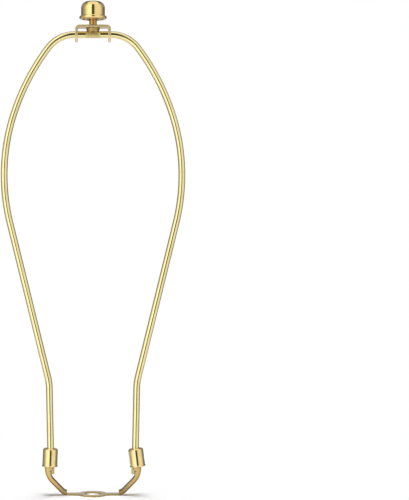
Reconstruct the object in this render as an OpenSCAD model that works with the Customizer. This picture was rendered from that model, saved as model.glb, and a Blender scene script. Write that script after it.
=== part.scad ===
// Lamp harp: a bow of round wire whose flattened feet hook into the ears of a
// folded saddle. A ferrule drops over each joint and locks it. A folded bracket
// swivels on the top of the bow and carries a threaded stud for the shade,
// with a cap finial screwed on it.
// Millimetres. X runs across the legs, Y through the bow, Z up. The origin is
// the centre of the saddle's hole, on the saddle's underside.

/* [Bow] */
// Height from the saddle's underside to the top of the swivel bracket
harp_h = 304.8; // [296:0.1:320]
// Greatest width of the bow, outside the wire
bow_w = 119.8; // [114:0.1:125]
// Diameter of the wire
wire_d = 4.4; // [4.1:0.05:4.5]
// Half length of the straight stretch at the top of the bow
top_half = 11.9; // [11:0.1:13]
// Centreline radius of the bends beside the bracket
crown_r = 21.6; // [18:0.1:25]
// Angle through which each of those bends turns down
crown_turn = 53; // [48:0.5:57]
// Angle below level at which the shoulder meets the side
shoulder_end = 72; // [69:0.5:75]
// Centreline radius of the side, past the shoulder
side_r = 129; // [115:1:145]
// Height of the legs' upper ends, as a share of the harp's height
leg_share = 0.228056; // [0.21:0.001:0.25]
// Centreline radius of the bend between flank and leg
knee_r = 30.5; // [25:0.5:40]
// Lean from upright of the straight leg
leg_lean = 1.2; // [0:0.1:2]
// Distance between the legs' centrelines at the foot of the ferrules
leg_gap = 54.6; // [52:0.1:58]
// Thickness of the flattened foot of the wire
tang_t = 1.75; // [1.4:0.05:2]
// Width of the flattened foot of the wire
tang_w = 3.5; // [3:0.05:3.6]
// Depth of the crimp on the front and back of the wire under the stud
crimp_depth = 0.3; // [0.1:0.05:0.5]
// Half length of the crimp's flat
crimp_half = 3.9; // [3:0.1:5]
// Length of the ramp at each end of the crimp
crimp_ramp = 1.0; // [0.5:0.1:1.5]

/* [Saddle] */
// Thickness of the saddle's sheet
strap_t = 1.0; // [0.8:0.05:1.1]
// Width of the strap and of its folded channel
strap_w = 5.8; // [5.6:0.1:6]
// Inner radius of the channel's two folds
fold_r = 0.2; // [0.1:0.05:0.3]
// Diameter of the ring round the hole
ring_d = 18.6; // [17:0.1:20]
// Diameter of the hole for the lamp's threaded pipe
bore_d = 10.6; // [10.4:0.05:10.9]
// Half length of the flat base
base_half = 17.6; // [16:0.1:18.5]
// Outer radius of the bend from base to arm
base_bend_r = 4.0; // [3.6:0.1:5]
// Rise of the arms from level
arm_rise = 45; // [42:0.5:48]
// Outer radius of the bend from arm to ear
ear_bend_r = 14; // [12:0.5:15]
// Depth of the arm's channel, with its sheet
arm_depth = 3.4; // [3:0.1:3.6]
// Depth of the ear's channel, with its sheet
ear_depth = 5.3; // [5:0.1:5.4]
// Height of the ear's channel above the bend
ear_channel_h = 5.2; // [4.8:0.1:6]
// Height of the ear's narrow end above the bend
ear_h = 11.9; // [11:0.1:13]
// Width of the ear's narrow end
ear_tip_w = 3.6; // [3.4:0.1:3.8]
// Gap between the wire and the ear beside it
ear_gap = 0.8; // [0.7:0.05:1]
// Width of the tongue that hooks the wire's foot
tongue_w = 1.4; // [1:0.1:1.6]
// Height of the tongue's underside above the bend
tongue_rise = 2.6; // [2.2:0.1:3]
// Metal left between the flanges' V notch and the sheet
notch_web = 1.4; // [1:0.1:2]
// Angle below level of the notch's point, round the ear's bend
notch_apex = 13; // [10:1:18]
// Angle between the two sides of the notch at its point, on the arm's side of it
notch_open = 0.4; // [0.2:0.1:1]
// Drop of the notch's upper corner below the end of the bend
notch_top = 1.1; // [0.6:0.1:1.4]
// Depth of the arm's flanges where they stand beside the wire's foot
tab_depth = 4.3; // [4:0.1:4.6]

/* [Ferrules] */
// Outer diameter of a ferrule
ferrule_d = 9.7; // [9.6:0.05:10.2]
// Height of a ferrule
ferrule_h = 11.9; // [11:0.1:12.5]
// Thickness of a ferrule's wall
ferrule_t = 0.4; // [0.3:0.05:0.45]
// Outer radius of a ferrule's shoulder
ferrule_round = 1.5; // [1:0.1:1.8]
// Diameter of the flared lip at a ferrule's foot
lip_d = 10.4; // [10.2:0.05:10.8]
// Height of the flared lip
lip_h = 0.9; // [0.6:0.1:1.2]
// Lean of the left ferrule, foot outwards
left_lean = 2.4; // [0:0.1:4]
// Lean of the right ferrule, foot outwards
right_lean = 7; // [5:0.1:7.5]

/* [Swivel] */
// Thickness of the bracket's strap
bracket_t = 1.7; // [1.4:0.05:2]
// Width of the bracket's strap
bracket_w = 10; // [9.4:0.1:12]
// Outer radius of the bracket's corners
bracket_r = 2.6; // [2.2:0.1:3]
// Gap between the bracket's top and the wire
plate_gap = 2.1; // [1.8:0.1:2.6]
// Diameter of the stud's head under the bracket
head_d = 9.4; // [8.8:0.1:10]
// Diameter of the head where it straddles the wire
skirt_d = 6.6; // [6.2:0.1:7.2]
// Depth to which the head's skirt hangs past the top of the wire
skirt_drop = 1.6; // [1:0.1:1.8]
// Diameter of the round staking mark in the skirt
stake_d = 3.2; // [2:0.1:3.6]
// Depth of the staking mark
stake_depth = 0.4; // [0.2:0.05:0.5]
// Diameter of the stud through the bracket
stud_foot_d = 5.4; // [5.2:0.1:6]
// Height of the collar that the stud shows above the bracket
collar_h = 0.4; // [0.2:0.1:0.8]
// Diameter of the stud's plain neck
neck_d = 5.0; // [4.6:0.1:5.1]
// Height of the neck's top above the bracket
neck_h = 2.6; // [2:0.1:3]
// Diameter of the stud's thread
thread_d = 6.3; // [6.1:0.05:6.4]
// Length of the stud's thread
thread_l = 8.6; // [7:0.1:9]

/* [Finial] */
// Diameter of the finial's body
cap_d = 15.5; // [15:0.1:17]
// Diameter over the finial's rolled rim
rim_d = 17.9; // [17.5:0.1:19.5]
// Diameter of the roll itself
roll_d = 2.4; // [2.2:0.1:2.8]
// Height of the finial from the foot of its rim to its top
cap_h = 12.4; // [12:0.1:14]
// Radius of the finial's shoulder
cap_round = 4.4; // [3.5:0.1:4.8]
// Thickness of the finial's sheet
cap_t = 0.45; // [0.35:0.05:0.6]
// Diameter of the hub inside the finial
hub_d = 8.0; // [7.6:0.1:9]
// Height that the hub shows below the rim
hub_drop = 0.8; // [0.4:0.1:1]
// Gap between the hub's foot and the bracket
finial_gap = 2.8; // [2.5:0.1:4]
// Thickness of the hub's flange
flange_t = 1.0; // [0.8:0.1:1.1]
// Width of the edge turned in under the flange
turn_in = 0.9; // [0.6:0.1:1.5]
// Thickness of the hub's closed end
hub_end = 1.2; // [0.8:0.1:2]

/* [Hidden] */
$fn = 96;

// Clearances between pieces
swivel_gap = 0.1;   // round the wire, in the bracket and in the stud's groove
ferrule_gap = 0.25; // round the wire, in a ferrule's hole
seat_gap = 0.3;     // between an ear's end and the ferrule over it
bracket_gap = 0.3;  // between the bracket and the start of the wire's bends
hook_gap = 0.1;     // over the tongue, in the foot's window
hook_play = 0.8;    // under the tongue, in the foot's window
thread_gap = 0.1;   // between the threads of stud and finial
press_gap = 0.05;   // between pieces pressed into each other
fold_steps = 4;     // of the roundness of the channel's folds
joint_inset = 0.2;  // between the end of a stretch of wire and the joint's middle
joint_proud = 0.02; // of a joint over the wire
far = 40;           // longer than any piece that a cut passes through

brass = [0.83, 0.69, 0.38];
dark_brass = [0.72, 0.57, 0.30];

// Places that several pieces share
wire_r = wire_d / 2;
plate_z = harp_h - bracket_t;
wire_z = plate_z - plate_gap - wire_r;
foot_x = leg_gap / 2;
ear_in = foot_x + wire_r + ear_gap;
ear_out = ear_in + strap_t;

// Centres of the saddle's bends, and the length of the straight arm between
ear_bend_x = ear_out - ear_bend_r;
arm_l = (ear_bend_x - base_half + (ear_bend_r - base_bend_r) * sin(arm_rise)) / cos(arm_rise);
ear_z = base_bend_r * (1 - cos(arm_rise)) + arm_l * sin(arm_rise) + ear_bend_r * cos(arm_rise);
ear_top = ear_z + ear_h;
tongue_z = ear_z + tongue_rise;
tongue_end = foot_x - wire_r + tang_t / 4;

// Notch between the flanges of arm and ear: its point, and the corners it opens to
notch_r = ear_bend_r - strap_t - notch_web;
notch_point = [ear_bend_x + notch_r * cos(notch_apex), ear_z - notch_r * sin(notch_apex)];
notch_upper = [ear_out - ear_depth, ear_z - notch_top];
notch_lower = [ear_out - tab_depth, ear_z - (ear_bend_r - tab_depth) * tan(notch_apex + notch_open)];

// Depths and heights of the outlines that deepen the flanges on both sides of the notch
notch_root = ear_out - notch_point[0] + strap_t / 2;
flange_lap = arm_depth - strap_t / 2;
tab_foot = ear_z - sqrt(pow(ear_bend_r - arm_depth, 2) - pow(ear_bend_r - tab_depth, 2)) - 0.2;

// Ferrules: the top of the wire's hole
ferrule_top = ear_top + seat_gap + ferrule_t;
ferrule_foot = ferrule_top - ferrule_h;

// Feet of the wire: the flat starts above the ear's channel and ends in the bend
tang_top = ear_z + ear_channel_h + 1.2;
tang_ramp = 2.2;
tang_end = ear_z - 4.4;
tang_in = foot_x - wire_r;

// The wire's centreline, in headings below level: each bend's centre and end
half_span = bow_w / 2 - wire_r;
shoulder_r = (half_span - top_half - crown_r * sin(crown_turn) - side_r * (1 - sin(shoulder_end)))
    / (sin(shoulder_end) - sin(crown_turn));

function outward(heading) = [sin(heading), cos(heading)];
function along(heading) = [cos(heading), -sin(heading)];
function leg_x(z) = foot_x + (z - ferrule_foot) * tan(leg_lean);

crown_centre = [top_half, wire_z] - crown_r * outward(0);
crown_end = crown_centre + crown_r * outward(crown_turn);
shoulder_centre = crown_end - shoulder_r * outward(crown_turn);
shoulder_foot = shoulder_centre + shoulder_r * outward(shoulder_end);
side_centre = shoulder_foot - side_r * outward(shoulder_end);

// The straight flank slopes from upright so that the bend below it ends on top of the leg;
// a slope is tried in the middle of the stretch that it must lie in, and again in the right half
leg_h = harp_h * leg_share;
steepest = 45;
function knee_drop(slope) = knee_r * (sin(slope) - sin(leg_lean));
function knee_reach(slope) = knee_r * (cos(leg_lean) - cos(slope));
function flank_drop(slope) = side_centre[1] - side_r * sin(slope) - knee_drop(slope) - leg_h;
function flank_miss(slope) = side_centre[0] + side_r * cos(slope) - flank_drop(slope) * tan(slope)
    - knee_reach(slope) - leg_x(leg_h);
function slope_between(low, high, tries) = let (middle = (low + high) / 2)
    tries == 0 ? middle
    : flank_miss(middle) > 0 ? slope_between(middle, high, tries - 1)
    : slope_between(low, middle, tries - 1);
flank_slope = slope_between(leg_lean, steepest, 40);
flank_l = flank_drop(flank_slope) / cos(flank_slope);

flank_heading = 90 + flank_slope;
leg_heading = 90 + leg_lean;
side_end = side_centre + side_r * outward(flank_heading);
flank_end = side_end + flank_l * along(flank_heading);
knee_centre = flank_end + knee_r * outward(flank_heading);
knee_end = knee_centre - knee_r * outward(leg_heading);
leg_l = (knee_end[1] - tang_end) / cos(leg_lean);

// Lays a shape drawn in X and Z (as 2D) down along Y, centred, as thick as w
module along_y(w) {
    rotate([90, 0, 0])
        translate([0, 0, -w / 2])
            linear_extrude(w)
                children();
}

// A rod along X, centred
module rod_x(r, l) {
    rotate([0, 90, 0])
        cylinder(r = r, h = l, center = true);
}

// Straight wire from a point along a heading, short of both ends by the joints' inset
module wire_straight(start, heading, l) {
    translate([start[0], 0, start[1]])
        rotate([0, 90 + heading, 0])
            translate([0, 0, joint_inset])
                cylinder(r = wire_r, h = l - joint_inset * 2);
}

// Bent wire about a centre, short of both ends by the joints' inset; from and to are
// angles up from +X
module wire_bend(centre, r, from, to) {
    inset = asin(joint_inset / r);
    translate([centre[0], 0, centre[1]])
        rotate([90, 0, 0])
            rotate([0, 0, from + inset])
                rotate_extrude(angle = to - from - inset * 2)
                    translate([r, 0])
                        circle(r = wire_r);
}

// Short length that bridges two stretches of wire, a hair proud of both
module wire_joint(point, heading) {
    translate([point[0], 0, point[1]])
        rotate([0, 90 + heading, 0])
            cylinder(r = wire_r + joint_proud, h = joint_inset * 6, center = true);
}

// One side of the bow, from the end of its straight top to the end of its foot
module bow_side() {
    wire_joint([top_half, wire_z], 0);
    wire_bend(crown_centre, crown_r, 90 - crown_turn, 90);
    wire_joint(crown_end, crown_turn);
    wire_bend(shoulder_centre, shoulder_r, 90 - shoulder_end, 90 - crown_turn);
    wire_joint(shoulder_foot, shoulder_end);
    wire_bend(side_centre, side_r, 90 - flank_heading, 90 - shoulder_end);
    wire_joint(side_end, flank_heading);
    wire_straight(side_end, flank_heading, flank_l);
    wire_joint(flank_end, flank_heading);
    wire_bend(knee_centre, knee_r, -90 - flank_heading, -90 - leg_heading);
    wire_joint(knee_end, leg_heading);
    wire_straight(knee_end, leg_heading, leg_l);
}

// Flats crimped into the wire's front and back, under the stud
module crimp_cut() {
    flat_y = wire_r - crimp_depth;
    ramp_x = crimp_half + crimp_ramp;
    for (side = [0, 1])
        mirror([0, side, 0])
            translate([0, 0, wire_z - wire_r])
                linear_extrude(wire_d)
                    polygon([
                        [-ramp_x, wire_r],
                        [-crimp_half, flat_y],
                        [crimp_half, flat_y],
                        [ramp_x, wire_r],
                        [ramp_x, wire_d],
                        [-ramp_x, wire_d]
                    ]);
}

// What the press takes off one foot: its outer side, its front and its back
module tang_cut() {
    flat_x = tang_in + tang_t;
    low = tang_end - wire_d;
    along_y(wire_d * 2)
        polygon([
            [flat_x, low],
            [flat_x, tang_top],
            [foot_x + wire_d, tang_top + tang_ramp * 2],
            [foot_x + wire_d, low]
        ]);
    for (side = [0, 1])
        mirror([0, side, 0])
            translate([0, tang_w / 2, 0])
                rotate([90, 0, 90])
                    linear_extrude(far)
                        polygon([
                            [0, low],
                            [0, tang_top],
                            [wire_d, tang_top + tang_ramp * 4],
                            [wire_d, low]
                        ]);
}

// Window in one foot that the saddle's tongue passes through
module tang_window() {
    translate([tang_in - wire_r, -tongue_w / 2 - hook_gap, tongue_z - hook_play])
        cube([wire_d + wire_r, tongue_w + hook_gap * 2, strap_t + hook_play + hook_gap]);
}

module harp_bow() {
    color(brass)
        difference() {
            union() {
                wire_straight([-top_half, wire_z], 0, top_half * 2);
                bow_side();
                mirror([1, 0, 0])
                    bow_side();
            }
            crimp_cut();
            for (side = [0, 1])
                mirror([side, 0, 0]) {
                    tang_cut();
                    tang_window();
                }
        }
}

// One face of the folded channel's section, from flange tip to flange tip: depth
// into the channel first, then width; inset is 0 outside and the sheet's thickness inside
function section_face(inset) =
    let (round = fold_r + strap_t - inset, side = strap_w / 2 - inset)
    concat(
        [[arm_depth, -side]],
        [for (i = [0:fold_steps]) let (a = 270 - 90 * i / fold_steps)
            [inset + round + round * cos(a), round - side + round * sin(a)]],
        [for (i = [0:fold_steps]) let (a = 180 - 90 * i / fold_steps)
            [inset + round + round * cos(a), side - round + round * sin(a)]],
        [[arm_depth, side]]
    );

// Stations round a bend of the channel: the angle up from +X, and the place of its sheet
function bend_stations(centre, r, from, to, steps) =
    [for (i = [0:steps]) let (a = from + (to - from) * i / steps)
        [a, centre + r * [cos(a), sin(a)]]];

// The folded channel of one arm, from the base to the top of the ear's flanges
module arm_channel() {
    stations = concat(
        bend_stations([base_half, base_bend_r], base_bend_r, -90, arm_rise - 90, 6),
        bend_stations([ear_bend_x, ear_z], ear_bend_r, arm_rise - 90, 0, 12),
        [[0, [ear_out, ear_z + ear_channel_h]]]
    );
    outside = section_face(0);
    inside = section_face(strap_t);
    m = len(outside);
    loop = concat(outside, [for (k = [m - 1:-1:0]) inside[k]]);
    n = len(loop);
    last = (len(stations) - 1) * n;
    polyhedron(
        points = [for (s = stations) for (p = loop)
            [s[1][0] - p[0] * cos(s[0]), p[1], s[1][1] - p[0] * sin(s[0])]],
        faces = concat(
            [for (i = [0:len(stations) - 2]) for (j = [0:n - 1]) for (half = [0, 1])
                let (a = i * n + j, b = i * n + (j + 1) % n)
                half == 0 ? [a, b + n, b] : [a, a + n, b + n]],
            [for (k = [0:m - 2]) for (half = [0, 1])
                half == 0 ? [k, k + 1, n - 1 - k] : [k + 1, n - 2 - k, n - 1 - k]],
            [for (k = [0:m - 2]) for (half = [0, 1])
                half == 0 ? [last + k, last + n - 1 - k, last + k + 1]
                    : [last + k + 1, last + n - 1 - k, last + n - 2 - k]]
        )
    );
}

// Height of the notch's side towards a corner, at a depth into the channel
function notch_side(corner, depth) =
    notch_point[1] + (corner[1] - notch_point[1])
        * (notch_point[0] - ear_out + depth) / (notch_point[0] - corner[0]);

// Middle of the notch at a depth into the channel
function notch_middle(depth) =
    [ear_out - depth, (notch_side(notch_upper, depth) + notch_side(notch_lower, depth)) / 2];

// The two flanges of the arm, from an outline seen from the front
module arm_flanges(outline) {
    for (y = [-strap_w / 2, strap_w / 2 - strap_t])
        translate([0, y + strap_t, 0])
            rotate([90, 0, 0])
                linear_extrude(strap_t)
                    polygon(outline);
}

// One arm of the saddle with its ear; the flanges are deeper on both sides of the notch
module saddle_arm() {
    root = notch_middle(notch_root);
    arm_channel();
    arm_flanges([
        notch_middle(ear_depth),
        root,
        [ear_out - flange_lap, root[1]],
        [ear_out - flange_lap, ear_z + ear_channel_h],
        [ear_out - ear_depth, ear_z + ear_channel_h]
    ]);
    arm_flanges([
        [ear_out - tab_depth, tab_foot],
        [ear_out - flange_lap, tab_foot],
        [ear_out - flange_lap, root[1]],
        root,
        notch_middle(tab_depth)
    ]);
    translate([ear_in, -ear_tip_w / 2, ear_z])
        cube([strap_t, ear_tip_w, ear_h]);
    translate([tongue_end, -tongue_w / 2, tongue_z])
        cube([ear_in + strap_t / 2 - tongue_end, tongue_w, strap_t]);
}

// V notch that lets the flanges fold at the ear's bend, closed to a slit by the fold
module arm_notch() {
    past = 1.6;
    reach = (notch_point[0] - notch_upper[0]) / (notch_point[0] - notch_lower[0]);
    along_y(strap_w * 2)
        polygon([
            notch_point,
            notch_point + (notch_upper - notch_point) * past,
            notch_point + (notch_lower - notch_point) * past * reach
        ]);
}

// Window that the tongue was folded out of
module tongue_window() {
    translate([ear_in - strap_t, -tongue_w / 2, tongue_z + strap_t])
        cube([strap_t * 3, tongue_w, ear_in - tongue_end]);
}

module saddle() {
    color(dark_brass)
        difference() {
            union() {
                cylinder(d = ring_d, h = strap_t);
                translate([-base_half, -strap_w / 2, 0])
                    cube([base_half * 2, strap_w, strap_t]);
                for (side = [0, 1])
                    mirror([side, 0, 0])
                        difference() {
                            saddle_arm();
                            arm_notch();
                            tongue_window();
                        }
            }
            translate([0, 0, -strap_t])
                cylinder(d = bore_d, h = strap_t * 3);
        }
}

// Section of a round-shouldered cup, from low to high
module cup_section(r, round, low, high) {
    translate([0, low])
        square([r, high - low - round]);
    translate([0, low])
        square([r - round, high - low]);
    translate([r - round, high - round])
        intersection() {
            circle(r = round);
            square(round);
        }
}

// Section of a ferrule's flared foot; r is the radius above it
module lip_section(r) {
    flare = (lip_d - ferrule_d) / 2;
    polygon([
        [0, -ferrule_h],
        [r + flare, -ferrule_h],
        [r + flare, -ferrule_h + lip_h / 2],
        [r, -ferrule_h + lip_h],
        [0, -ferrule_h + lip_h]
    ]);
}

// A drawn cup that points down, with a hole in its top; its origin is the hole's
// centre on the top face
module ferrule() {
    outer_r = ferrule_d / 2;
    inner_r = outer_r - ferrule_t;
    hole_r = wire_r + ferrule_gap;
    rotate_extrude()
        difference() {
            union() {
                cup_section(outer_r, ferrule_round, -ferrule_h, 0);
                lip_section(outer_r);
            }
            cup_section(inner_r, ferrule_round - ferrule_t, -ferrule_h - 1, -ferrule_t);
            lip_section(inner_r);
            translate([0, -ferrule_h])
                square([hole_r, ferrule_h + 1]);
        }
}

// Sets a ferrule on the right leg, leaning about the wire in its hole
module ferrule_on_leg(lean) {
    translate([leg_x(ferrule_top), 0, ferrule_top])
        rotate([0, -lean, 0])
            ferrule();
}

module ferrule_left() {
    color(brass)
        mirror([1, 0, 0])
            ferrule_on_leg(left_lean);
}

module ferrule_right() {
    color(brass)
        ferrule_on_leg(right_lean);
}

// Folded strap with round ears that the wire runs through
module swivel_bracket() {
    half = top_half - bracket_gap;
    inner_r = bracket_r - bracket_t;
    corner_x = half - bracket_r;
    corner_z = harp_h - bracket_r;
    color(dark_brass)
        difference() {
            union() {
                translate([-corner_x, -bracket_w / 2, plate_z])
                    cube([corner_x * 2, bracket_w, bracket_t]);
                for (side = [-1, 1]) {
                    intersection() {
                        translate([side * corner_x, 0, corner_z])
                            rotate([90, 0, 0])
                                difference() {
                                    cylinder(r = bracket_r, h = bracket_w, center = true);
                                    cylinder(r = inner_r, h = bracket_w * 2, center = true);
                                }
                        translate([side * (corner_x + bracket_r), 0, corner_z + bracket_r])
                            cube([bracket_r * 2, bracket_w * 2, bracket_r * 2], center = true);
                    }
                    translate([side * (half - bracket_t / 2), 0, (corner_z + wire_z) / 2])
                        cube([bracket_t, bracket_w, corner_z - wire_z], center = true);
                    translate([side * (half - bracket_t / 2), 0, wire_z])
                        rod_x(bracket_w / 2, bracket_t);
                }
            }
            translate([0, 0, wire_z])
                rod_x(wire_r + swivel_gap, half * 4);
            cylinder(d = stud_foot_d + press_gap * 2, h = harp_h * 2);
        }
}

// Stud staked into the bracket: a head that straddles the wire, a neck and a thread
module threaded_stud() {
    skirt_z = wire_z + wire_r - skirt_drop;
    neck_top = harp_h + neck_h;
    tip = 0.5;
    color(dark_brass)
        difference() {
            union() {
                translate([0, 0, skirt_z])
                    cylinder(d1 = skirt_d, d2 = head_d, h = plate_z - skirt_z);
                translate([0, 0, plate_z])
                    cylinder(d = stud_foot_d, h = bracket_t + collar_h);
                translate([0, 0, harp_h])
                    cylinder(d = neck_d, h = neck_h);
                translate([0, 0, neck_top])
                    cylinder(d = thread_d, h = thread_l - tip);
                translate([0, 0, neck_top + thread_l - tip])
                    cylinder(d1 = thread_d, d2 = thread_d - tip * 2, h = tip);
            }
            translate([0, 0, wire_z])
                rod_x(wire_r + swivel_gap, head_d * 2);
            for (side = [0, 1])
                mirror([0, side, 0])
                    translate([0, stake_depth - skirt_d / 2, skirt_z])
                        rotate([90, 0, 0])
                            cylinder(d = stake_d, h = head_d);
        }
}

// Heights of the finial's pieces
hub_foot = harp_h + finial_gap;
rim_foot = hub_foot + hub_drop;
cap_top = rim_foot + cap_h;
roll_z = rim_foot + roll_d / 2;
roll_x = (rim_d - roll_d) / 2;

// Drawn cup whose foot bulges into a bead and turns in under the hub's flange
module finial_cap() {
    cap_r = cap_d / 2;
    inner_r = cap_r - cap_t;
    color(brass)
        rotate_extrude() {
            difference() {
                cup_section(cap_r, cap_round, roll_z + roll_d / 2 - cap_t / 2, cap_top);
                cup_section(inner_r, cap_round - cap_t, roll_z, cap_top - cap_t);
            }
            intersection() {
                translate([roll_x, roll_z])
                    difference() {
                        circle(d = roll_d);
                        circle(d = roll_d - cap_t * 2);
                    }
                translate([inner_r, rim_foot])
                    square([roll_d * 2, roll_d]);
            }
            translate([roll_x - turn_in, rim_foot])
                square([turn_in, cap_t]);
        }
}

// Turned hub held in the cap: a flange inside the bead, a blind threaded hole
module finial_insert() {
    bore_top = harp_h + neck_h + thread_l + thread_gap;
    hub_top = bore_top + hub_end;
    color(dark_brass)
        difference() {
            union() {
                translate([0, 0, hub_foot])
                    cylinder(d = hub_d, h = hub_top - hub_foot);
                translate([0, 0, rim_foot + cap_t + press_gap])
                    cylinder(r = cap_d / 2 - cap_t - press_gap, h = flange_t);
            }
            translate([0, 0, hub_foot - 1])
                cylinder(r = thread_d / 2 + thread_gap, h = bore_top - hub_foot + 1);
        }
}

harp_bow();
saddle();
ferrule_left();
ferrule_right();
swivel_bracket();
threaded_stud();
finial_cap();
finial_insert();
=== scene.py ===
import math

import bmesh
import bpy
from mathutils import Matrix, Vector

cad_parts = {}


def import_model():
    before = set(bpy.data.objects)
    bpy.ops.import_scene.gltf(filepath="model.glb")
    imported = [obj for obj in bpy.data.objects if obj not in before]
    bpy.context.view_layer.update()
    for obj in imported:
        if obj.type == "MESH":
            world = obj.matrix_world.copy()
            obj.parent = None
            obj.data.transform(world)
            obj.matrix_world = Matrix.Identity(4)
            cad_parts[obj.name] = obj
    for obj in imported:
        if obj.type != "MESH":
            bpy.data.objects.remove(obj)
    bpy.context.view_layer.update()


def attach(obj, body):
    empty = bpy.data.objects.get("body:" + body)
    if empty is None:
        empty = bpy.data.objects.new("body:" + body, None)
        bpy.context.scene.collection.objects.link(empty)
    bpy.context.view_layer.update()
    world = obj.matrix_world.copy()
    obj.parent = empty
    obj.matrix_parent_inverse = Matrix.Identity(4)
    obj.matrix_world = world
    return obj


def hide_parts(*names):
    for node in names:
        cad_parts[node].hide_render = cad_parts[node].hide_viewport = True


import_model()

# The harp's sizes, in millimetres, as its solids have them
MM = 0.001
HARP_H = 304.8
WIRE_R = 2.2
TOP_HALF = 11.9
HALF_SPAN = 57.7
CROWN_R, CROWN_TURN = 21.6, 53
SHOULDER_END = 72
SIDE_R = 129
FLANK_SLOPE = 13.8
KNEE_R = 30.5
LEG_LEAN = 1.2
FOOT_X = 27.3
CRIMP_DEPTH, CRIMP_HALF, CRIMP_RAMP = 0.18, 3.9, 1.0
TANG_T, TANG_W = 1.75, 3.5

SHEET = 1.0
STRAP_W = 5.8
RING_R, BORE_R = 9.3, 5.3
BASE_HALF = 16.8
BASE_BEND_R, EAR_BEND_R = 6.0, 14.0
ARM_RISE = 45
ARM_DEPTH, EAR_DEPTH = 3.0, 5.3
EAR_CHANNEL_H, EAR_H, EAR_TIP_W = 5.2, 11.9, 3.6
TONGUE_W, TONGUE_RISE = 1.4, 2.6
NOTCH_WEB, NOTCH_APEX, NOTCH_OPEN, NOTCH_TOP = 1.4, 13, 0.4, 1.1
TAB_DEPTH = 4.3

FERRULE_R, FERRULE_H, FERRULE_T, FERRULE_ROUND = 4.85, 11.9, 0.4, 1.5
LIP_R, LIP_H = 5.2, 0.9
LEAN = {"left": 2.4, "right": 7.0}

BRACKET_T, BRACKET_W, BRACKET_R = 1.7, 10.0, 2.6
PLATE_GAP = 2.1
HEAD_R, SKIRT_R, SKIRT_DROP = 4.7, 3.3, 1.6
STAKE_R, STAKE_DEPTH = 1.6, 0.4
STUD_FOOT_R, COLLAR_H = 2.7, 0.4
NECK_R, NECK_H = 2.5, 3.8
THREAD_R, THREAD_L, PITCH = 3.15, 7.4, 25.4 / 27

CAP_R, RIM_R, ROLL_R = 7.75, 8.95, 1.2
CAP_H, CAP_ROUND, CAP_T = 11.7, 4.4, 0.45
HUB_R, HUB_DROP, FINIAL_GAP = 4.0, 0.1, 3.8
FLANGE_T, TURN_IN, HUB_END = 1.0, 0.9, 1.2

CLEARANCE = 0.1
PLATE_Z = HARP_H - BRACKET_T
WIRE_Z = PLATE_Z - PLATE_GAP - WIRE_R
EAR_IN = FOOT_X + WIRE_R + 0.8
EAR_OUT = EAR_IN + SHEET
EAR_BEND_X = EAR_OUT - EAR_BEND_R
RISE = math.radians(ARM_RISE)
ARM_L = (EAR_BEND_X - BASE_HALF + (EAR_BEND_R - BASE_BEND_R) * math.sin(RISE)) / math.cos(RISE)
EAR_Z = BASE_BEND_R * (1 - math.cos(RISE)) + ARM_L * math.sin(RISE) + EAR_BEND_R * math.cos(RISE)
TONGUE_Z = EAR_Z + TONGUE_RISE
TONGUE_END = FOOT_X - WIRE_R + TANG_T / 4
FERRULE_TOP = EAR_Z + EAR_H + 0.3 + FERRULE_T
FERRULE_FOOT = FERRULE_TOP - FERRULE_H
TANG_IN = FOOT_X - WIRE_R
TANG_TOP = EAR_Z + EAR_CHANNEL_H + 1.2
TANG_END = EAR_Z - 4.4
HUB_FOOT = HARP_H + FINIAL_GAP
RIM_FOOT = HUB_FOOT + HUB_DROP
CAP_TOP = RIM_FOOT + CAP_H
BORE_TOP = HARP_H + NECK_H + THREAD_L + CLEARANCE

ROUND_SIDES = 128
WIRE_SIDES = 48


# Materials

def hex_linear(code):
    """An sRGB hex colour as the linear colour that the shaders take."""
    channels = [int(code[i:i + 2], 16) / 255 for i in (0, 2, 4)]
    return [c / 12.92 if c <= 0.04045 else ((c + 0.055) / 1.055) ** 2.4 for c in channels] + [1]


def add(tree, kind, values=None, links=None, **settings):
    """A node with its settings, socket values and incoming links."""
    made = tree.nodes.new(kind)
    for key, value in settings.items():
        setattr(made, key, value)
    for key, value in (values or {}).items():
        made.inputs[key].default_value = value
    for key, source in (links or {}).items():
        tree.links.new(source, made.inputs[key])
    return made


LACQUER = 1.0
# Where the arms' unrolled section starts in their UV map. Across it lie bands of painted shade: the
# outside of the two folds a darker, redder gold where it would mirror the shaded floor, the channel's
# inside painted dark for the shadow in it, and a thin painted dark line along the rims.
ARM_UV = 100.0
ARM_SHADE_BANDS = [(4.4, 0.7, "CB9C56"), (10.0, 0.7, "CB9C56"), (18.2, 4.0, "A07E46"),
             (0.5, 0.85, "8C6A30"), (13.6, 0.6, "8C6A30")]


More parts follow.
